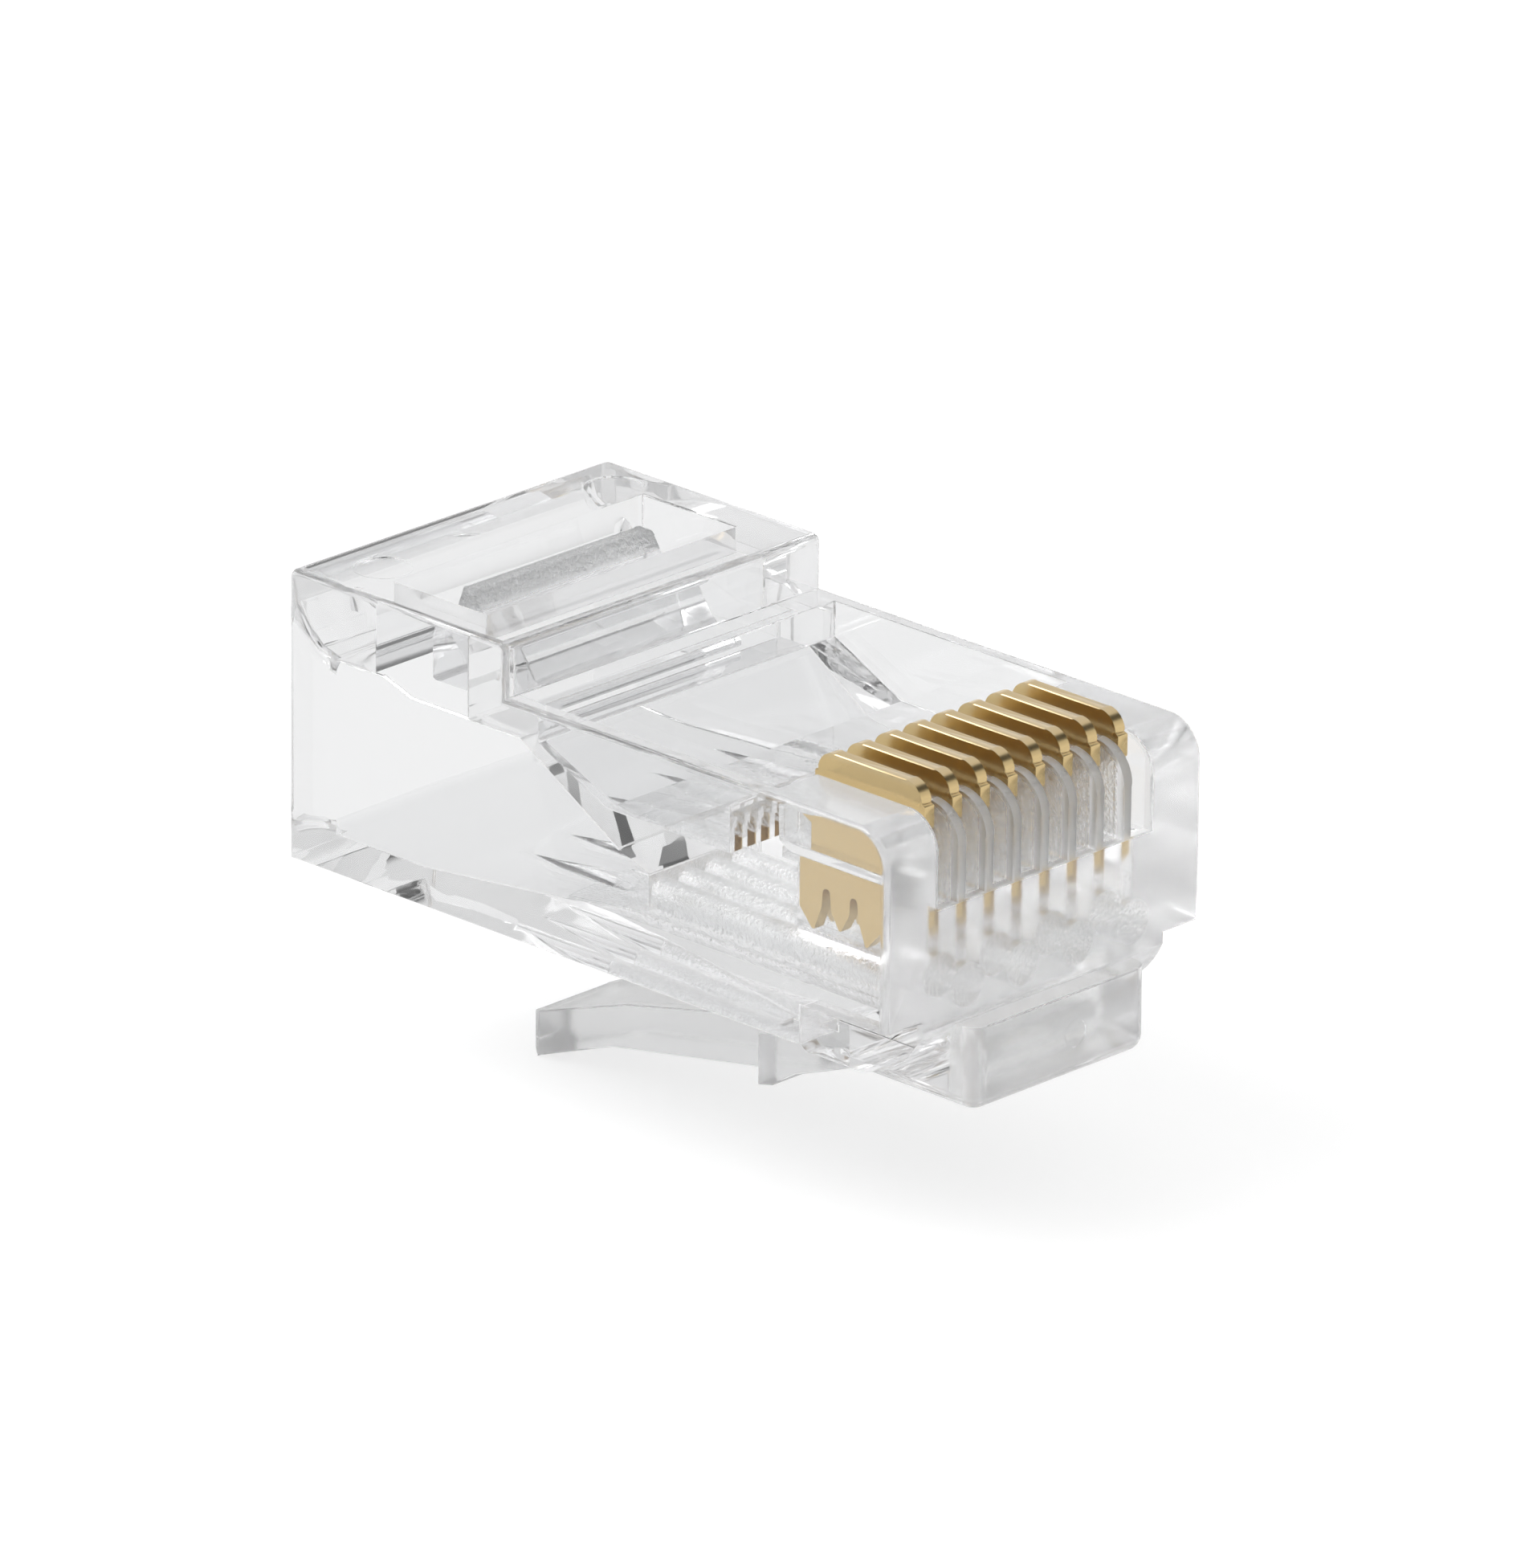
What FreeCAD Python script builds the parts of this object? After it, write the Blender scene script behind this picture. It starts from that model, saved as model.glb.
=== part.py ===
"""Eight-way modular plug (8P8C) for round cable, before crimping.

Frame: x runs forward along the plug with 0 at the mating face, y runs across the
row of contacts, z runs up towards the contact side with 0 on the body's underside.
The spring lever hangs below the body. Stations along the body are measured from
its cable end and turned into x by at().
"""
import math
import os

import FreeCAD
import Part

V = FreeCAD.Vector
TINY = 1e-6               # for matching coordinates

# ---- body ---------------------------------------------------------------
LENGTH = 21.46            # cable end to mating face
WIDTH = 11.68
REAR_HEIGHT = 8.0         # raised block round the cable
FRONT_HEIGHT = 6.5        # over the contacts
STEP = 7.9                # cable end to the front of the raised block
NOSE_RADIUS = 1.05        # upper front edge
EDGE = 0.18               # radius of the long outer edges
BLOCK_EDGE = 0.26         # radius across the top of the raised block
EJECTOR_MARKS = [(1.72, -4.1), (1.67, 4.45)]   # station and y of the round marks on the block
EJECTOR_RADIUS = 0.8
MARK_DEPTH = 0.04

# ---- cable cavity -------------------------------------------------------
WALL = 1.1                # side wall beside the cable
FLOOR = 0.78
CEILING_REAR = 5.66       # behind the jacket clamp
CEILING = 5.32            # under and ahead of the jacket clamp
MOUTH_DEPTH = 1.25        # flared entry
CEILING_STEP = (2.95, 4.0)   # the ceiling drops between these stations
MOUTH_FLARE = [           # station, wall left beside, drop of the floor, ceiling, corner radius
    (-0.02, 0.34, 0.25, 7.0, 0.7),
    (0.28, 0.62, 0.12, 6.35, 0.6),
    (0.66, 0.9, 0.03, 5.87, 0.5),
    (1.25, 1.1, 0.0, 5.66, 0.45),
]
FLOOR_RISE = [(4.5, 0.78), (9.5, 1.31)]   # station and height of the floor's bends
THROAT = 12.4             # station where the cavity has closed on the wires
THROAT_FLOOR = 1.74
THROAT_TOP = 2.77
CEILING_FALL = [(7.95, 5.32), (11.36, 3.17)]
WAIST_START = 8.4         # the side walls draw in from here to the throat
WAIST_DRAW = 0.42

# ---- open well above the wires ------------------------------------------
WELL_WALL = 0.5
WELL_REAR = 8.85
WELL_SHELF = 5.5          # floor height at the rear wall
WELL_RAMP_END = 11.3
WELL_FLOOR = 4.38
WELL_FRONT = 15.72
WELL_LIP = 5.63           # where the front wall leans forward
WELL_END = 17.2

# ---- contact row --------------------------------------------------------
CONTACTS = 8
PITCH = 1.02
BLADE = 0.35              # sheet thickness
BLADE_TOP = 7.1           # height before crimping, 6.02 afterwards
SLOT = 0.72               # upper slot, open to the front
SLOT_REAR = 16.8
SLOT_FRONT = 20.6         # front end of the slits the blade slides in
SLOT_FLOOR = 4.0          # floor of the slot ahead of the blade
FUNNEL_TOP = 4.9          # the slot tapers to the blade from here
FUNNEL_END = 4.6
FUNNEL_DRAW = 0.3         # how far the taper draws in at the rear
SHOULDER_SLIT = 4.4       # room for the blade's shoulders once pressed down
BLADE_CLEARANCE = 0.015
SLIT_REAR_GAP = 0.06      # slit past the blade's lower part
SLIT_FRONT_GAP = 0.07
SLIT_REACH = 0.15         # how far the slit enters the wire channel
BODY_REAR = 17.46         # lower part of the blade, with the teeth
BODY_FRONT = 20.3
BODY_TOP = 4.6
NECK_REAR = 17.75
NECK_FRONT = 20.2
NECK_LOW = 4.85
NECK_HIGH = 5.55
CROWN_REAR = 16.92
CROWN_FRONT = 20.78
CROWN_LOW = 5.95
CROWN_SHOULDER = 6.52
CROWN_TURN = 6.56         # the crown rounds over from here to its top
CROWN_CHAMFER = 0.1
CROWN_FLAT_INSET = 0.68   # flat top inside the crown's ends
CROWN_ARC = (0.28, 0.15)  # middle of the rounding: in from the end, below the top
CROWN_TOE = 0.05          # the front foot of the crown hangs this much lower
TOOTH_TIPS = (19.82, 18.88, 17.94)
TOOTH_ROOTS = (20.3, 19.36, 18.4, 17.46)
TOOTH_TIP_HEIGHTS = (2.75, 2.93, 2.75)
TOOTH_TIP_HALF = 0.04
TOOTH_EDGE_Z = 3.25       # outer edges of the row of teeth
GULLET_FLANK = (0.16, 3.42)   # half width and height where the gullet turns upright
GULLET_TOP = (0.13, 3.82)
GULLET_CROWN_Z = 3.95
WIRE = 1.2                # wire channel diameter
UPPER_WIRE_Z = 2.05
LOWER_WIRE_Z = 1.5
WIRE_END = 20.9
GROOVE_START = 5.2        # the channels run back into the rising floor as grooves

# ---- jacket clamp -------------------------------------------------------
WINDOW_REAR = 2.6
WINDOW_FRONT = 6.0
WINDOW_HALF = 4.6
WINDOW_DEPTH = 0.6        # cut this far below the ceiling, into the cavity
CLAMP_HINGE_IN = 0.2      # flexing edge behind the window's front and over the ceiling
CLAMP_HALF = 3.3
CLAMP_TOP = 7.8
CLAMP_PIN = 0.15          # radius of the flexing edge
CLAMP_FRONT = [(5.45, 0.65)]   # station and height over the ceiling, front of the wedge
CLAMP_CREST = (3.8, 4.2)
CLAMP_BACK = [(3.38, 1.38), (3.38, 0.1), (3.55, 0.0)]   # rear face, same measure
CLAMP_CORNER = 0.12
CLAMP_CREST_BAND = 1.2    # the crest's edges lie within this of its top
HINGE_GAP = 0.05          # stands for the thin flexing webs

# ---- spring lever and its root ------------------------------------------
ROOT_HALF = 3.25
ROOT_REAR = 18.3
ROOT_FRONT = 22.15
ROOT_BOTTOM = -1.62
ROOT_TOP = 0.7
ROOT_CORNER = 0.5         # radius of its upright front edges
ROOT_EDGE = 0.42          # radius round its underside
GATE_MARK = (0.5, -0.42, 0.38)   # y, z and radius of the round mark on its front
KEEL_HALF = 4.45          # lobes either side of the root
KEEL_INNER = 3.3
KEEL_REAR = 17.1
KEEL_BOTTOM = -0.9
KEEL_TURN = 18.9          # where the lobes begin to curve up to the mating face
KEEL_CORNER = 0.45
KEEL_LIP = 0.32           # left below the front relief at the mating face
SIDE_NOTCH = 18.5         # relief under the front side corners
NOTCH_TOP = 1.07
LEVER_KNUCKLE = 0.34      # radius of the flexing neck
NECK_BEHIND = 0.2         # neck's centre behind the root
NECK_RISE = 0.15          # and its underside over the root's
TAIL_HALF = 1.63
SHOULDER = 14.4
LEVER_SLOPE = 12.6        # degrees below the body
TAIL_SLOPE = 18.8
TAIL_BEND = 8.2
TAIL_TIP = 4.7
TAIL_THICKNESS = 1.15
TAIL_DEEPER = 0.22        # extra thickness of the tail where it bends
TAIL_TIP_FACE = 0.85
TAIL_CHAMFER = 0.3
TAIL_BEND_LENGTH = 0.6    # the underside bends this far behind the top
TAIL_CORNER = 0.35
SHOULDER_DEPTH = 1.42     # lever thickness at the locking shoulders
SHOULDER_RAMP = [(14.9, 0.12), (15.75, 0.66)]   # station and rise of the underside ahead of them
NECK_START = 17.1         # the underside has thinned to the neck here
NECK_STEP = 0.4
TAIL_ROOT = 16.0          # the tail starts inside the wide part
TAIL_KEEL = 0.1           # how far it hangs below the shoulders
TAIL_ROOT_RISE = 0.72
LEVER_INSET = 0.12        # the wide part is this much narrower than the root, each side


def at(station):
    """x of a station measured from the cable end."""
    return station - LENGTH


def profile(points, half, centre=0.0):
    """Closed side profile of (x, z) points, pulled across y."""
    loop = [V(x, centre - half, z) for x, z in points]
    face = Part.Face(Part.makePolygon(loop + loop[:1]))
    return face.extrude(V(0, 2 * half, 0))


def box(x0, x1, half, z0, z1, centre=0.0):
    return Part.makeBox(x1 - x0, 2 * half, z1 - z0, V(x0, centre - half, z0))


def rounded(shape, radius, chosen):
    """Round the straight edges whose two ends pass the test chosen(a, b)."""
    edges = [e for e in shape.Edges if len(e.Vertexes) == 2
             and chosen(e.Vertexes[0].Point, e.Vertexes[1].Point)]
    return shape.makeFillet(radius, edges)


def section(x, half, bottom, top, radius):
    """Rounded rectangle across the body at x."""
    flat = Part.makePolygon([V(x, -half, bottom), V(x, half, bottom),
                             V(x, half, top), V(x, -half, top), V(x, -half, bottom)])
    block = Part.Face(flat).extrude(V(1, 0, 0))
    soft = rounded(block, radius, lambda a, b: abs(a.x - b.x) > 0.5)
    ends = [f for f in soft.Faces if abs(f.CenterOfMass.x - x) < TINY]
    return ends[0].OuterWire


def contact_y(index):
    return (index - (CONTACTS - 1) / 2) * PITCH


def wire_z(index):
    return UPPER_WIRE_Z if index % 2 == 0 else LOWER_WIRE_Z


# ---- housing ------------------------------------------------------------
def body_block():
    """Outer form: raised cable end, lower front, relieved front corners."""
    outline = [(at(0), 0), (at(0), REAR_HEIGHT), (at(STEP), REAR_HEIGHT),
               (at(STEP), FRONT_HEIGHT), (0, FRONT_HEIGHT), (0, NOTCH_TOP),
               (at(SIDE_NOTCH), NOTCH_TOP), (at(SIDE_NOTCH), 0)]
    solid = profile(outline, WIDTH / 2)
    top_front = lambda a, b: (abs(a.x) < TINY and abs(b.x) < TINY
                              and abs(a.z - FRONT_HEIGHT) < TINY
                              and abs(b.z - FRONT_HEIGHT) < TINY)
    solid = rounded(solid, NOSE_RADIUS, top_front)
    step_corner = lambda a, b: (abs(a.y - b.y) > 1 and abs(a.z - REAR_HEIGHT) < TINY
                                and abs(b.z - REAR_HEIGHT) < TINY)
    solid = rounded(solid, BLOCK_EDGE, step_corner)
    side = WIDTH / 2

    def outer_edge(a, b):
        on_side = abs(abs(a.y) - side) < TINY and abs(a.y - b.y) < TINY
        top = min(a.z, b.z) > NOTCH_TOP + 1 and abs(a.z - b.z) < TINY
        upright = abs(a.x - at(STEP)) < TINY and abs(b.x - at(STEP)) < TINY
        return on_side and (top or upright)
    return rounded(solid, EDGE, outer_edge)


def keel_lobes():
    """Lobes beside the lever root, rounded fore and aft."""
    rear, turn, low = at(KEEL_REAR), at(KEEL_TURN), KEEL_BOTTOM
    top = NOTCH_TOP + 0.1
    rise = NOTCH_TOP - KEEL_LIP - low
    radius = (turn ** 2 + rise ** 2) / (2 * rise)
    half_turn = math.asin(-turn / radius) / 2
    small = KEEL_CORNER
    s = math.sqrt(0.5)
    edges = [
        Part.LineSegment(V(rear, 0, top), V(rear, 0, low + small)),
        Part.Arc(V(rear, 0, low + small), V(rear + small * (1 - s), 0, low + small * (1 - s)),
                 V(rear + small, 0, low)),
        Part.LineSegment(V(rear + small, 0, low), V(turn, 0, low)),
        Part.Arc(V(turn, 0, low),
                 V(turn + radius * math.sin(half_turn), 0, low + radius * (1 - math.cos(half_turn))),
                 V(0, 0, low + rise)),
        Part.LineSegment(V(0, 0, low + rise), V(0, 0, top)),
        Part.LineSegment(V(0, 0, top), V(rear, 0, top)),
    ]
    face = Part.Face(Part.Wire([e.toShape() for e in edges]))
    full = face.extrude(V(0, 2 * KEEL_HALF, 0))
    full.translate(V(0, -KEEL_HALF, 0))
    return full.cut(box(rear - 1, 1, KEEL_INNER, low - 1, 0))


def root_block():
    """Nose from which the spring lever springs, proud of the mating face."""
    block = box(at(ROOT_REAR), at(ROOT_FRONT), ROOT_HALF, ROOT_BOTTOM, ROOT_TOP)
    front = at(ROOT_FRONT)
    upright = lambda a, b: abs(a.x - front) < TINY and abs(b.x - front) < TINY and abs(a.z - b.z) > 1
    block = rounded(block, ROOT_CORNER, upright)
    low = lambda a, b: (abs(a.z - ROOT_BOTTOM) < TINY and abs(b.z - ROOT_BOTTOM) < TINY
                        and max(a.x, b.x) > at(ROOT_REAR) + TINY)
    return rounded(block, ROOT_EDGE, low)


def cavity():
    """Space for the cable: flared mouth, straight part, throat down to the wires."""
    inner = WIDTH / 2 - WALL
    mouth = Part.makeLoft([section(at(station), WIDTH / 2 - wall, FLOOR - drop, ceiling, radius)
                           for station, wall, drop, ceiling, radius in MOUTH_FLARE], True, True)
    step_start, step_end = CEILING_STEP
    side_view = [(at(MOUTH_DEPTH), FLOOR)]
    side_view += [(at(station), z) for station, z in FLOOR_RISE]
    side_view += [(at(THROAT), THROAT_FLOOR), (at(THROAT), THROAT_TOP)]
    side_view += [(at(station), z) for station, z in reversed(CEILING_FALL)]
    side_view += [(at(step_end), CEILING), (at(step_start), CEILING_REAR),
                  (at(MOUTH_DEPTH), CEILING_REAR)]
    tube = profile(side_view, inner)
    narrow = inner - WAIST_DRAW
    plan = [V(at(MOUTH_DEPTH), -inner, 0), V(at(WAIST_START), -inner, 0), V(at(THROAT), -narrow, 0),
            V(at(THROAT), narrow, 0), V(at(WAIST_START), inner, 0), V(at(MOUTH_DEPTH), inner, 0)]
    waist = Part.Face(Part.makePolygon(plan + plan[:1])).extrude(V(0, 0, REAR_HEIGHT))
    return mouth.fuse(tube.common(waist))


def well():
    """Open recess in the top between the step and the contacts."""
    top = FRONT_HEIGHT + 1
    side_view = [(at(WELL_REAR), WELL_SHELF), (at(WELL_RAMP_END), WELL_FLOOR),
                 (at(WELL_FRONT), WELL_FLOOR), (at(WELL_FRONT), WELL_LIP),
                 (at(WELL_END), FRONT_HEIGHT), (at(WELL_END), top), (at(WELL_REAR), top)]
    return profile(side_view, WIDTH / 2 - WELL_WALL)


def clamp_window():
    """Opening over the cable in which the jacket clamp swings."""
    return box(at(WINDOW_REAR), at(WINDOW_FRONT), WINDOW_HALF, CEILING - WINDOW_DEPTH, REAR_HEIGHT + 1)


def flat_frame(x0, x1, half, z, centre):
    """Rectangular wire level with the body, for a loft."""
    corners = [V(x0, centre - half, z), V(x1, centre - half, z),
               V(x1, centre + half, z), V(x0, centre + half, z)]
    return Part.makePolygon(corners + corners[:1])


def contact_slot(index):
    """Upper slot, tapered lead-in, blade slit and wire channel of one way."""
    y = contact_y(index)
    slit = BLADE / 2 + BLADE_CLEARANCE
    rear, front, beyond = at(SLOT_REAR), at(SLOT_FRONT), 1.0
    joined = FUNNEL_END + 0.1
    upper = box(rear, beyond, SLOT / 2, FUNNEL_TOP, FRONT_HEIGHT + 1, y)
    throat = box(at(SLOT_FRONT - SLIT_REACH), beyond, SLOT / 2, SLOT_FLOOR, FUNNEL_TOP, y)
    taper = Part.makeLoft([flat_frame(rear, front, SLOT / 2, FUNNEL_TOP, y),
                           flat_frame(rear + FUNNEL_DRAW, front, slit, FUNNEL_END, y)], True, True)
    shoulder_slit = box(rear + 0.05, front, slit, SHOULDER_SLIT, joined, y)
    blade_slit = box(at(BODY_REAR - SLIT_REAR_GAP), at(BODY_FRONT + SLIT_FRONT_GAP), slit,
                     wire_z(index) - WIRE / 2 + SLIT_REACH, joined, y)
    start = at(GROOVE_START)
    channel = Part.makeCylinder(WIRE / 2, at(WIRE_END) - start,
                                V(start, y, wire_z(index)), V(1, 0, 0))
    return [upper, throat, taper, shoulder_slit, blade_slit, channel]


def marks():
    """Shallow round marks of the ejector pins and the gate."""
    top = REAR_HEIGHT - MARK_DEPTH
    found = [Part.makeCylinder(EJECTOR_RADIUS, 1, V(at(station), y, top))
             for station, y in EJECTOR_MARKS]
    y, z, radius = GATE_MARK
    found.append(Part.makeCylinder(radius, 1, V(at(ROOT_FRONT) - MARK_DEPTH, y, z), V(1, 0, 0)))
    return found


def housing():
    solid = body_block().fuse([keel_lobes(), root_block()]).removeSplitter()
    cutters = [cavity(), well(), clamp_window(), lever_seat()] + marks()
    for index in range(CONTACTS):
        cutters.extend(contact_slot(index))
    return solid.cut(cutters).removeSplitter()


# ---- spring lever -------------------------------------------------------
def hinge_centre():
    """Middle of the flexing neck, where the lever leaves its root."""
    return V(at(ROOT_REAR) - NECK_BEHIND, 0, ROOT_BOTTOM + LEVER_KNUCKLE + NECK_RISE)


def lever_seat():
    """Round relief at the rear of the root, a hair larger than the neck."""
    c = hinge_centre()
    return Part.makeCylinder(LEVER_KNUCKLE + HINGE_GAP, 2 * ROOT_HALF + 0.2,
                             V(c.x, -ROOT_HALF - 0.1, c.z), V(0, 1, 0))


def latch_lever():
    """Wide front part with locking shoulders, narrow finger tail, flexing neck."""
    c = hinge_centre()
    fall = math.tan(math.radians(LEVER_SLOPE))
    tail_fall = math.tan(math.radians(TAIL_SLOPE)) * (TAIL_BEND - TAIL_TIP)
    neck_top, neck_bottom = c.z + LEVER_KNUCKLE, c.z - LEVER_KNUCKLE
    top = lambda station: neck_top - (c.x - at(station)) * fall
    shoulder_z = top(SHOULDER) - SHOULDER_DEPTH
    wide = [(c.x, neck_top), (at(SHOULDER), top(SHOULDER)), (at(SHOULDER), shoulder_z)]
    wide += [(at(station), shoulder_z + rise) for station, rise in SHOULDER_RAMP]
    wide += [(at(NECK_START), neck_bottom - NECK_STEP), (c.x, neck_bottom)]
    bend_top = top(TAIL_BEND)
    tip_top = bend_top - tail_fall
    tail = [(at(TAIL_ROOT), top(TAIL_ROOT)), (at(TAIL_BEND), bend_top), (at(TAIL_TIP), tip_top),
            (at(TAIL_TIP), tip_top - TAIL_TIP_FACE),
            (at(TAIL_TIP) + TAIL_CHAMFER, tip_top - TAIL_THICKNESS),
            (at(TAIL_BEND - TAIL_BEND_LENGTH), bend_top - TAIL_THICKNESS - TAIL_DEEPER),
            (at(SHOULDER), shoulder_z - TAIL_KEEL), (at(TAIL_ROOT), shoulder_z + TAIL_ROOT_RISE)]
    side = ROOT_HALF - LEVER_INSET
    neck = Part.makeCylinder(LEVER_KNUCKLE, 2 * side, V(c.x, -side, c.z), V(0, 1, 0))
    lever = profile(wide, side).fuse([profile(tail, TAIL_HALF), neck]).removeSplitter()
    tip = at(TAIL_TIP)
    corner = lambda a, b: abs(a.x - tip) < TINY and abs(b.x - tip) < TINY and abs(a.z - b.z) > 0.5
    return rounded(lever, TAIL_CORNER, corner)


# ---- jacket clamp -------------------------------------------------------
def clamp_hinge():
    return V(at(WINDOW_FRONT) - CLAMP_HINGE_IN, 0, CEILING + CLAMP_HINGE_IN)


def jacket_clamp():
    """Wedge bar that folds down on the cable jacket when the plug is crimped."""
    h = clamp_hinge()
    crest_rear, crest_front = CLAMP_CREST
    outline = [(h.x, h.z + CLAMP_PIN)]
    outline += [(at(station), CEILING + rise) for station, rise in CLAMP_FRONT]
    outline += [(at(crest_front), CLAMP_TOP), (at(crest_rear), CLAMP_TOP)]
    outline += [(at(station), CEILING + rise) for station, rise in CLAMP_BACK]
    outline += [(h.x, h.z - CLAMP_PIN)]
    bar = profile(outline, CLAMP_HALF)
    pin = Part.makeCylinder(CLAMP_PIN, 2 * CLAMP_HALF, V(h.x, -CLAMP_HALF, h.z), V(0, 1, 0))
    bar = bar.fuse(pin).removeSplitter()
    top_corner = lambda a, b: abs(a.y - b.y) < TINY and min(a.z, b.z) > CLAMP_TOP - CLAMP_CREST_BAND
    return rounded(bar, CLAMP_CORNER, top_corner)


# ---- contacts -----------------------------------------------------------
def line(a, b):
    """Straight edge between two (station, z) points."""
    return Part.LineSegment(V(at(a[0]), 0, a[1]), V(at(b[0]), 0, b[1])).toShape()


def arc(a, m, b):
    return Part.Arc(*[V(at(s), 0, z) for s, z in (a, m, b)]).toShape()


def crown():
    """Upper outline of a blade, from its rear foot over the top to its front foot."""
    arc_in, arc_low = CROWN_ARC
    rise = [(BODY_REAR, BODY_TOP), (NECK_REAR, NECK_LOW), (NECK_REAR, NECK_HIGH),
            (CROWN_REAR, CROWN_LOW), (CROWN_REAR, CROWN_SHOULDER),
            (CROWN_REAR + CROWN_CHAMFER, CROWN_TURN)]
    fall = [(CROWN_FRONT - CROWN_CHAMFER, CROWN_TURN), (CROWN_FRONT, CROWN_SHOULDER),
            (CROWN_FRONT, CROWN_LOW - CROWN_TOE), (NECK_FRONT, NECK_HIGH), (NECK_FRONT, NECK_LOW),
            (BODY_FRONT, BODY_TOP), (BODY_FRONT, TOOTH_EDGE_Z)]
    top_rear = (CROWN_REAR + CROWN_FLAT_INSET, BLADE_TOP)
    top_front = (CROWN_FRONT - CROWN_FLAT_INSET, BLADE_TOP)
    edges = [line(a, b) for a, b in zip(rise, rise[1:])]
    edges.append(arc(rise[-1], (CROWN_REAR + arc_in, BLADE_TOP - arc_low), top_rear))
    edges.append(line(top_rear, top_front))
    edges.append(arc(top_front, (CROWN_FRONT - arc_in, BLADE_TOP - arc_low), fall[0]))
    return edges + [line(a, b) for a, b in zip(fall, fall[1:])]


def teeth():
    """Lower outline of a blade: three points that pierce the wire, gullets between them."""
    edges = []
    for k, tip in enumerate(TOOTH_TIPS):
        front, rear = TOOTH_ROOTS[k], TOOTH_ROOTS[k + 1]
        entry = (tip + TOOTH_TIP_HALF, TOOTH_TIP_HEIGHTS[k])
        leave = (tip - TOOTH_TIP_HALF, TOOTH_TIP_HEIGHTS[k])
        if k:
            edges.append(line((front - GULLET_TOP[0], GULLET_TOP[1]),
                              (front - GULLET_FLANK[0], GULLET_FLANK[1])))
            edges.append(line((front - GULLET_FLANK[0], GULLET_FLANK[1]), entry))
        else:
            edges.append(line((front, TOOTH_EDGE_Z), entry))
        edges.append(line(entry, leave))
        if tip != TOOTH_TIPS[-1]:
            flank = (rear + GULLET_FLANK[0], GULLET_FLANK[1])
            high = (rear + GULLET_TOP[0], GULLET_TOP[1])
            edges.append(line(leave, flank))
            edges.append(line(flank, high))
            edges.append(arc(high, (rear, GULLET_CROWN_Z), (rear - GULLET_TOP[0], GULLET_TOP[1])))
        else:
            edges.append(line(leave, (rear, TOOTH_EDGE_Z)))
    edges.append(line((BODY_REAR, TOOTH_EDGE_Z), (BODY_REAR, BODY_TOP)))
    return edges


def contact(index):
    """Gold-plated blade: rounded crown, neck, and a lower part with three piercing teeth."""
    wire = Part.Wire(Part.__sortEdges__(crown() + teeth()))
    blade = Part.Face(wire).extrude(V(0, BLADE, 0))
    blade.translate(V(0, contact_y(index) - BLADE / 2, 0))
    return blade


def main():
    os.makedirs("parts", exist_ok=True)
    nodes = {"housing": housing(), "latch_lever": latch_lever(), "jacket_clamp": jacket_clamp()}
    for index in range(CONTACTS):
        nodes[f"contact_{index + 1}"] = contact(index)
    for name, shape in nodes.items():
        print(name, shape.isValid(), len(shape.Solids), round(shape.Volume, 3),
              [round(v, 2) for v in (shape.BoundBox.XMin, shape.BoundBox.XMax, shape.BoundBox.YMin,
                                     shape.BoundBox.YMax, shape.BoundBox.ZMin, shape.BoundBox.ZMax)])
        shape.exportStep(f"parts/{name}.step")


main()
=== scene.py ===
import math

import bmesh
import bpy
from mathutils import Matrix, Vector


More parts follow.
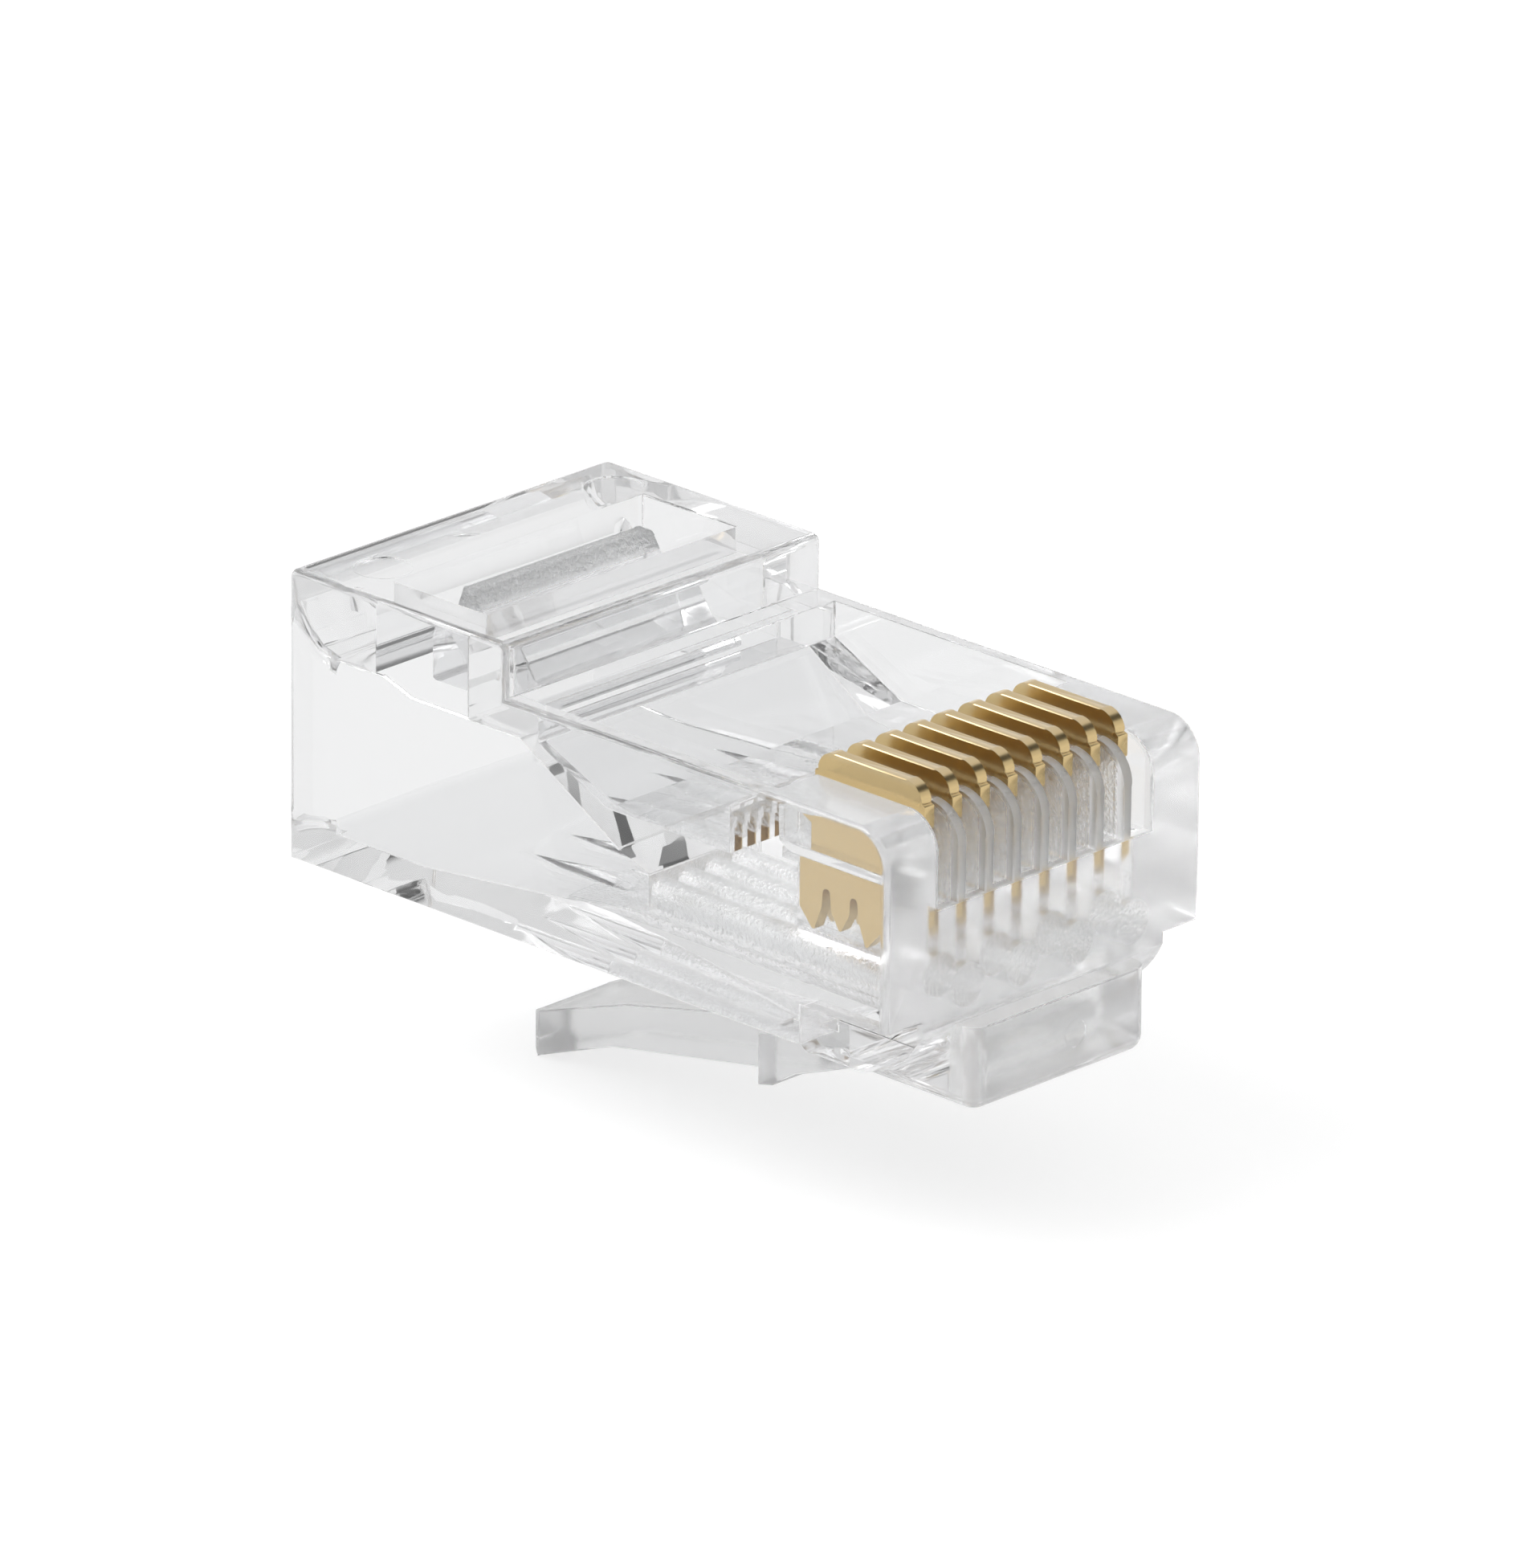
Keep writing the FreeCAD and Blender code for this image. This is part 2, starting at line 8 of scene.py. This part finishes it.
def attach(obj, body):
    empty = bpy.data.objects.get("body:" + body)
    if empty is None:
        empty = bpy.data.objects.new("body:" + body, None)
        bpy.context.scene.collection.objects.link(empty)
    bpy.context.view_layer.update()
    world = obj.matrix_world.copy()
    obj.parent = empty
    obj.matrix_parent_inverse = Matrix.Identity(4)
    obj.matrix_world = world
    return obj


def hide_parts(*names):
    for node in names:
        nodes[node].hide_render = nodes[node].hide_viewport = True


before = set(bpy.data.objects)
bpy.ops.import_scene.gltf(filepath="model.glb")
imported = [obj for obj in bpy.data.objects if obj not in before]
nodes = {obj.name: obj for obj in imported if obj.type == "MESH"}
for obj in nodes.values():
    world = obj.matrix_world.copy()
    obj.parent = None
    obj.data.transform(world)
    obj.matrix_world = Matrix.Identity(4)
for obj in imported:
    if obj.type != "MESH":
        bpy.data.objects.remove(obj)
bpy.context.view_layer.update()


# ---- housing -------------------------------------------------------------
# One injection moulding of clear polycarbonate: cable block, well, comb of
# slots and nose in one. The mould is polished outside, and spark-eroded in
# the slots and the wire channels, which come out matte.
class Wire:
    """One socket of a material; arithmetic on it adds Math nodes."""

    def __init__(self, tree, socket=None):
        self.tree = tree
        self.socket = socket

    def node(self, kind, settings=None, values=None, out=0):
        made = self.tree.nodes.new(kind)
        for name, value in (settings or {}).items():
            setattr(made, name, value)
        for key, value in (values or {}).items():
            if isinstance(value, Wire):
                self.tree.links.new(value.socket, made.inputs[key])
            else:
                made.inputs[key].default_value = value
        return Wire(self.tree, made.outputs[out])

    def show(self, shader, kind="ShaderNodeOutputMaterial"):
        target = self.tree.nodes.new(kind)
        self.tree.links.new(shader.socket, target.inputs["Surface"])

    def math(self, operation, *values):
        return self.node("ShaderNodeMath", {"operation": operation}, dict(enumerate(values)))

    def __add__(self, other):
        return self.math("ADD", self, other)

    def __sub__(self, other):
        return self.math("SUBTRACT", self, other)

    def __rsub__(self, other):
        return self.math("SUBTRACT", other, self)

    def __mul__(self, other):
        return self.math("MULTIPLY", self, other)

    def __abs__(self):
        return self.math("ABSOLUTE", self)

    __radd__ = __add__
    __rmul__ = __mul__

    def or_more(self, other):
        return self.math("MAXIMUM", self, other)

    def ease(self, low, high):
        """0 below low, 1 above high, smooth between."""
        values = {"Value": self, "From Min": low, "From Max": high}
        return self.node("ShaderNodeMapRange", {"interpolation_type": "SMOOTHSTEP"}, values)

    def band(self, low, high, soft):
        """1 from low to high, fading to 0 over soft on both sides."""
        return self.ease(low - soft, low) * (1 - self.ease(high, high + soft))

    def within(self, limit, soft):
        """1 up to limit, fading to 0 over soft."""
        return 1 - self.ease(limit, limit + soft)


def empty_finish(name):
    """A new material, its empty tree and the place on the piece in millimetres."""
    made = bpy.data.materials.new(name)
    made.use_nodes = True
    made.node_tree.nodes.clear()
    tree = Wire(made.node_tree)
    place = tree.node("ShaderNodeTexCoord", out="Object")
    place = tree.node("ShaderNodeVectorMath", {"operation": "SCALE"}, {0: place, "Scale": 1000.0})
    return made, tree, place


def blend_of(tree, factor, first, second):
    """A colour that goes from the first to the second as the factor goes from 0 to 1."""
    return tree.node("ShaderNodeMix", {"data_type": "RGBA"},
                     {"Factor": factor, "A": (*first, 1), "B": (*second, 1)}, out=2)


PLASTIC_IOR = 1.585
PLASTIC_CLEARNESS = 0.98
REAR_TINT = (0.945, 0.948, 0.952)       # the thick cable block
FRONT_TINT = (0.985, 0.987, 0.99)       # the thin walls round the contacts
TINT_CHANGE = (-7.0, -4.5)              # along the plug, mm; 0 is the mating face
GRAIN_SCALE = 9.0                       # spark-eroded grain
GRAIN_DETAIL = 3.0
GRAIN_HEIGHT = 0.11
GRAIN_ROUGHNESS = 0.12
FLOW_SCALE = 0.35                       # slow waves of the melt's flow
FLOW_DETAIL = 1.0
FLOW_HEIGHT = 0.006
FLOW_ROUGHNESS = 0.04
DULL_ROUGHNESS = 0.22
BUMP_DEPTH = 0.001


def clear_plastic(name, matte, haze):
    """Clear polycarbonate; matte says where the mould was spark-eroded, haze where it is dull."""
    made, tree, place = empty_finish(name)
    parts = [tree.node("ShaderNodeSeparateXYZ", values={0: place}, out=k) for k in range(3)]
    eroded = matte(*parts)
    dull = haze(*parts)
    grain = tree.node("ShaderNodeTexNoise", values={
        "Vector": place, "Scale": GRAIN_SCALE, "Detail": GRAIN_DETAIL})
    flow = tree.node("ShaderNodeTexNoise", values={
        "Vector": place, "Scale": FLOW_SCALE, "Detail": FLOW_DETAIL})
    height = grain * eroded * GRAIN_HEIGHT + flow * FLOW_HEIGHT
    bump = tree.node("ShaderNodeBump", values={
        "Height": height, "Distance": BUMP_DEPTH, "Strength": 1.0})
    roughness = eroded * GRAIN_ROUGHNESS + dull * DULL_ROUGHNESS + flow * FLOW_ROUGHNESS
    shader = tree.node("ShaderNodeBsdfPrincipled", values={
        "Base Color": blend_of(tree, parts[0].ease(*TINT_CHANGE), REAR_TINT, FRONT_TINT),
        "Roughness": roughness, "Normal": bump,
        "Transmission Weight": PLASTIC_CLEARNESS, "IOR": PLASTIC_IOR})
    tree.show(shader)
    return made


# places on the housing in millimetres: along, to each side of the middle, and up
FINE_EDGE = 0.05                        # how gently a zone ends
SOFT_EDGE = 0.1
WIDE_EDGE = 0.2
CHANNEL_LENGTH = (-12.0, -0.5)
CHANNEL_SIDE = 4.3
CHANNEL_HEIGHT = (0.86, 2.7)
CHANNEL_SHARE = 0.4                     # the channels are less eroded than the slots
SLOT_LENGTH = (-4.6, -0.4)
SLOT_SIDE = 3.7
SLOT_HEIGHT = (3.9, 6.2)


def eroded_inside(x, y, z):
    """The wire channels and the slots' walls."""
    aside = abs(y)
    channels = (x.band(*CHANNEL_LENGTH, FINE_EDGE) * aside.within(CHANNEL_SIDE, SOFT_EDGE)
                * z.band(*CHANNEL_HEIGHT, FINE_EDGE) * CHANNEL_SHARE)
    slots = (x.band(*SLOT_LENGTH, SOFT_EDGE) * aside.within(SLOT_SIDE, FINE_EDGE)
             * z.band(*SLOT_HEIGHT, WIDE_EDGE))
    return channels.or_more(slots)


FRONT_FACE = (-0.25, -0.1)
COMB_REAR = (-5.0, -4.9)
COMB_TOP = (6.36, 6.42)
FIN_RADIUS = 1.05                       # rounded upper front corner of the slots' walls
FIN_TURN = 5.45                         # height of that corner's centre
FIN_RIM = (0.8, 0.95)                   # squares of the distances over which its rim comes in
FIN_FRONT = (-0.3, -0.2)
FIN_FOOT = (3.9, 4.0)
FIN_SIDE = 3.95
FIN_DULLNESS = 1.9


def dull_outside(x, y, z):
    """The front face, the top of the comb, and the front edges of the slots' walls."""
    front = x.ease(*FRONT_FACE)
    comb_top = x.ease(*COMB_REAR) * z.ease(*COMB_TOP)
    reach, rise = x + FIN_RADIUS, z - FIN_TURN
    corner = ((reach * reach + rise * rise).ease(*FIN_RIM)
              * reach.ease(-FINE_EDGE, FINE_EDGE) * rise.ease(-FINE_EDGE, FINE_EDGE))
    fins = corner.or_more(x.ease(*FIN_FRONT))
    fins = fins * abs(y).within(FIN_SIDE, SOFT_EDGE) * z.ease(*FIN_FOOT) * FIN_DULLNESS
    return front.or_more(comb_top).or_more(fins)


# the wire channels' edges, in metres, up to where the slits leave them: the
# pressed contacts pass close by, so nothing is taken off there
SPARED_LENGTH = (-0.0125, -0.0009)
SPARED_SIDE = 0.0044
SPARED_HEIGHT = (0.0008, 0.0044)


def left_sharp(point):
    return (SPARED_LENGTH[0] < point.x < SPARED_LENGTH[1] and abs(point.y) < SPARED_SIDE
            and SPARED_HEIGHT[0] < point.z < SPARED_HEIGHT[1])


SEAM_WIDTH = 1e-6
FLAT_ANGLE = math.radians(0.3)          # faces this close to one plane are joined
SHARP_ANGLE = math.radians(28)          # edges from here on are broken
SMOOTH_ANGLE = math.radians(50)
CREASE_ANGLE = math.radians(20)         # from here on a flat's edge shows as a line
FLAT_AREA = 2e-7                        # the least area of a flat, in square metres


def moulded(node, name, body, radius, shortest):
    """A node's own form with its seams merged and its long sharp edges broken by a small radius."""
    bpy.ops.object.select_all(action="DESELECT")
    piece = nodes[node].copy()
    piece.data = nodes[node].data.copy()
    piece.name = name
    bpy.context.collection.objects.link(piece)
    piece.select_set(True)
    bpy.context.view_layer.objects.active = piece
    bpy.ops.object.mode_set(mode="EDIT")
    bpy.ops.mesh.select_mode(type="EDGE")
    bpy.ops.mesh.select_all(action="SELECT")
    bpy.ops.mesh.remove_doubles(threshold=SEAM_WIDTH)
    bpy.ops.mesh.dissolve_limited(angle_limit=FLAT_ANGLE)
    bpy.ops.mesh.select_all(action="SELECT")
    bpy.ops.mesh.quads_convert_to_tris(quad_method="BEAUTY", ngon_method="BEAUTY")
    bpy.ops.mesh.select_all(action="DESELECT")
    bpy.ops.mesh.edges_select_sharp(sharpness=SHARP_ANGLE)
    shape = bmesh.from_edit_mesh(piece.data)
    for edge in shape.edges:
        spared = any(left_sharp(corner.co) for corner in edge.verts)
        edge.select_set(edge.select and edge.calc_length() > shortest and not spared)
    bmesh.update_edit_mesh(piece.data)
    bpy.ops.mesh.bevel(offset=radius, segments=2, clamp_overlap=False)
    bpy.ops.mesh.select_all(action="SELECT")
    bpy.ops.mesh.dissolve_limited(angle_limit=FLAT_ANGLE)
    bpy.ops.object.mode_set(mode="OBJECT")
    bpy.ops.object.shade_smooth_by_angle(angle=SMOOTH_ANGLE)
    shape = bmesh.new()
    shape.from_mesh(piece.data)
    for edge in shape.edges:
        beside_flat = any(face.calc_area() > FLAT_AREA for face in edge.link_faces)
        if beside_flat and edge.calc_face_angle(0.0) > CREASE_ANGLE:
            edge.smooth = False
    shape.to_mesh(piece.data)
    shape.free()
    even = piece.modifiers.new("even_faces", "WEIGHTED_NORMAL")
    even.keep_sharp = True
    even.weight = 100
    bpy.ops.object.modifier_apply(modifier=even.name)
    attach(piece, body)
    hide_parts(node)
    return piece


def dress(piece, material):
    piece.data.materials.clear()
    piece.data.materials.append(material)


EDGE_RADIUS = 0.00004
HOUSING_SHORTEST = 0.0007               # shorter edges stay as they are
housing = moulded("housing", "housing_moulding", "body", EDGE_RADIUS, HOUSING_SHORTEST)
dress(housing, clear_plastic("housing_clear", eroded_inside, dull_outside))


# ---- spring lever --------------------------------------------------------
# Part of the same moulding, hung on a thin neck below the nose, which bends
# when the lever is pressed. Its mould is less polished: the lever is a little
# dull all over, and faintly grained along its middle.
LEVER_SHORTEST = 0.0005
LEVER_GRAIN_SIDE = 1.2
LEVER_GRAIN = 0.1
LEVER_DULLNESS = 1.0


def lever_grain(x, y, z):
    return y.band(-LEVER_GRAIN_SIDE, LEVER_GRAIN_SIDE, WIDE_EDGE) * LEVER_GRAIN


def lever_dull(x, y, z):
    return LEVER_DULLNESS


lever = moulded("latch_lever", "latch_moulding", "lever", EDGE_RADIUS, LEVER_SHORTEST)
dress(lever, clear_plastic("lever_clear", lever_grain, lever_dull))


# ---- jacket clamp --------------------------------------------------------
# Part of the same moulding: a wedge on a thin web in the window over the
# cable, folded down on the jacket when the plug is crimped. The ridge on its
# top is spark-eroded.
CLAMP_SHORTEST = 0.0005
RIDGE_RISE = (7.2, 7.5)
RIDGE_LENGTH = (-18.2, -17.1)
RIDGE_GRAIN = 1.8
CLAMP_TOP = (7.0, 7.4)
CLAMP_DULLNESS = 1.1


def clamp_grain(x, y, z):
    return z.ease(*RIDGE_RISE) * x.band(*RIDGE_LENGTH, WIDE_EDGE) * RIDGE_GRAIN


def clamp_dull(x, y, z):
    return z.ease(*CLAMP_TOP) * CLAMP_DULLNESS


clamp = moulded("jacket_clamp", "clamp_moulding", "clamp", EDGE_RADIUS, CLAMP_SHORTEST)
dress(clamp, clear_plastic("clamp_clear", clamp_grain, clamp_dull))


# ---- contacts ------------------------------------------------------------
# Eight blades stamped from phosphor bronze and flashed with gold, each held
# part way up its slot by friction until the plug is crimped. The flanks are
# satin, and the crowns are painted a paler gold, a painted sheen on their tops.
CONTACTS = 8
BLADE_RADIUS = 0.00003
BLADE_SHORTEST = 0.0001
FLANK_GOLD = (0.72, 0.545, 0.275)
# painted sheen: above this height the crowns are coloured a paler gold than the flanks
CROWN_GOLD_PAINTED_SHEEN = (0.74, 0.585, 0.345)
PAINTED_SHEEN_RISE = (6.9, 7.1)
WEAR_SCALE = 2.2
WEAR_DETAIL = 4.0
GOLD_ROUGHNESS = 0.22
WEAR_ROUGHNESS = 0.06

gold, tree, place = empty_finish("contact_gold")
rise = tree.node("ShaderNodeSeparateXYZ", values={0: place}, out=2)
wear = tree.node("ShaderNodeTexNoise", values={
    "Vector": place, "Scale": WEAR_SCALE, "Detail": WEAR_DETAIL})
tree.show(tree.node("ShaderNodeBsdfPrincipled", values={
    # the paler crown gold blended in here is a painted sheen
    "Base Color": blend_of(tree, rise.ease(*PAINTED_SHEEN_RISE), FLANK_GOLD, CROWN_GOLD_PAINTED_SHEEN),
    "Metallic": 1.0, "Roughness": wear * WEAR_ROUGHNESS + GOLD_ROUGHNESS}))

for number in range(1, CONTACTS + 1):
    blade = moulded(f"contact_{number}", f"blade_{number}_plated", f"blade_{number}",
                    BLADE_RADIUS, BLADE_SHORTEST)
    dress(blade, gold)


# ---- floor ---------------------------------------------------------------
# A plain pale sheet just below the lever's tail. It glows for the eye, and
# for what is mirrored in or seen through the plug, so that it looks white
# there and still takes the plug's shadow.
FLOOR_Z = -0.00538
FLOOR_SIZE = 12.0
FLOOR_GREY = 0.38
FLOOR_ROUGHNESS = 0.9
FLOOR_LIFT = 0.5
FLOOR_LIFT_SEEN = 0.2                   # more of it where the floor is seen directly

bpy.ops.object.select_all(action="DESELECT")
bpy.ops.mesh.primitive_plane_add(size=FLOOR_SIZE, location=(0, 0, FLOOR_Z))
floor = bpy.context.object
floor.name = "floor"
paint = bpy.data.materials.new("floor_paint")
paint.use_nodes = True
paint.node_tree.nodes.clear()
tree = Wire(paint.node_tree)
seen, mirrored, through = [tree.node("ShaderNodeLightPath", out=name) for name in (
    "Is Camera Ray", "Is Glossy Ray", "Is Transmission Ray")]
lift = seen * FLOOR_LIFT_SEEN + seen.or_more(mirrored).or_more(through) * FLOOR_LIFT
tree.show(tree.node("ShaderNodeBsdfPrincipled", values={
    "Base Color": (FLOOR_GREY, FLOOR_GREY, FLOOR_GREY, 1), "Roughness": FLOOR_ROUGHNESS,
    "Specular IOR Level": 0.0, "Emission Color": (1, 1, 1, 1), "Emission Strength": lift}))
dress(floor, paint)


# ---- light ---------------------------------------------------------------
# A white studio tent, lit evenly all round. A greyer band half way up and a
# dark card to one side show only in the plug, where they draw its edges. One
# large soft lamp gives the shadow.
TENT_LEVEL = 0.8
MIRROR_LEVEL = 0.95
BAND_HEIGHT = (0.3, 0.75)
BAND_SOFT = 0.15
BAND_DIP = 0.2
CARD_TOWARD = (0.36, 0.67, 0.65)
CARD_EDGE = (0.95, 0.99)
CARD_DIP = 0.75
LAMP_PLACE = Vector((-0.35, -0.45, 0.7))
LAMP_SIZE = 0.5
LAMP_POWER = 4.0

world = bpy.data.worlds.new("studio")
bpy.context.scene.world = world
world.use_nodes = True
world.node_tree.nodes.clear()
tree = Wire(world.node_tree)
seen, mirrored, through = [tree.node("ShaderNodeLightPath", out=name) for name in (
    "Is Camera Ray", "Is Glossy Ray", "Is Transmission Ray")]
toward = tree.node("ShaderNodeTexCoord", out="Generated")
height = tree.node("ShaderNodeSeparateXYZ", values={0: toward}, out=2)
to_card = tree.node("ShaderNodeVectorMath", {"operation": "DOT_PRODUCT"},
                    {0: toward, 1: CARD_TOWARD}, out="Value")
band = height.band(*BAND_HEIGHT, BAND_SOFT)
card = mirrored * to_card.ease(*CARD_EDGE)
in_plug = mirrored.or_more(through)
around = in_plug * (MIRROR_LEVEL - band * BAND_DIP - card * CARD_DIP) + (1 - in_plug) * TENT_LEVEL
level = seen + (1 - seen) * around
tree.show(tree.node("ShaderNodeBackground", values={"Color": (1, 1, 1, 1), "Strength": level}),
          "ShaderNodeOutputWorld")

lamp = bpy.data.lights.new("key", "AREA")
lamp.shape = "SQUARE"
lamp.size = LAMP_SIZE
lamp.energy = LAMP_POWER
key = bpy.data.objects.new("key", lamp)
bpy.context.collection.objects.link(key)
key.location = LAMP_PLACE
key.rotation_mode = "QUATERNION"
key.rotation_quaternion = (-LAMP_PLACE).to_track_quat("-Z", "Y")


# ---- camera --------------------------------------------------------------
# A long lens half a metre away, above the plug's near front corner, looking
# down on it and turned a little about its own axis.
TARGET = Vector((-0.0101, 0.00018, 0.0035))
AZIMUTH = math.radians(43.95)
ELEVATION = math.radians(21.156)
ROLL = math.radians(0.525)
DISTANCE = 0.5098
LENS = 454.65
SENSOR = 36.0

back = Vector((math.sin(AZIMUTH) * math.cos(ELEVATION), -math.cos(AZIMUTH) * math.cos(ELEVATION),
               math.sin(ELEVATION)))
right = (-back).cross(Vector((0, 0, 1))).normalized()
up = right.cross(-back)
side = right * math.cos(ROLL) + up * math.sin(ROLL)
over = up * math.cos(ROLL) - right * math.sin(ROLL)
lens = bpy.data.cameras.new("camera")
lens.sensor_width = SENSOR
lens.lens = LENS
lens.clip_start = 0.01
lens.clip_end = 50.0
camera = bpy.data.objects.new("camera", lens)
bpy.context.collection.objects.link(camera)
turned = Matrix((side, over, back)).transposed().to_4x4()
camera.matrix_world = Matrix.Translation(TARGET + back * DISTANCE) @ turned

bpy.context.scene.camera = camera
scene = bpy.context.scene
scene.view_settings.view_transform = "Standard"
scene.cycles.max_bounces = 32
scene.cycles.transmission_bounces = 32
scene.cycles.glossy_bounces = 24
scene.cycles.transparent_max_bounces = 16
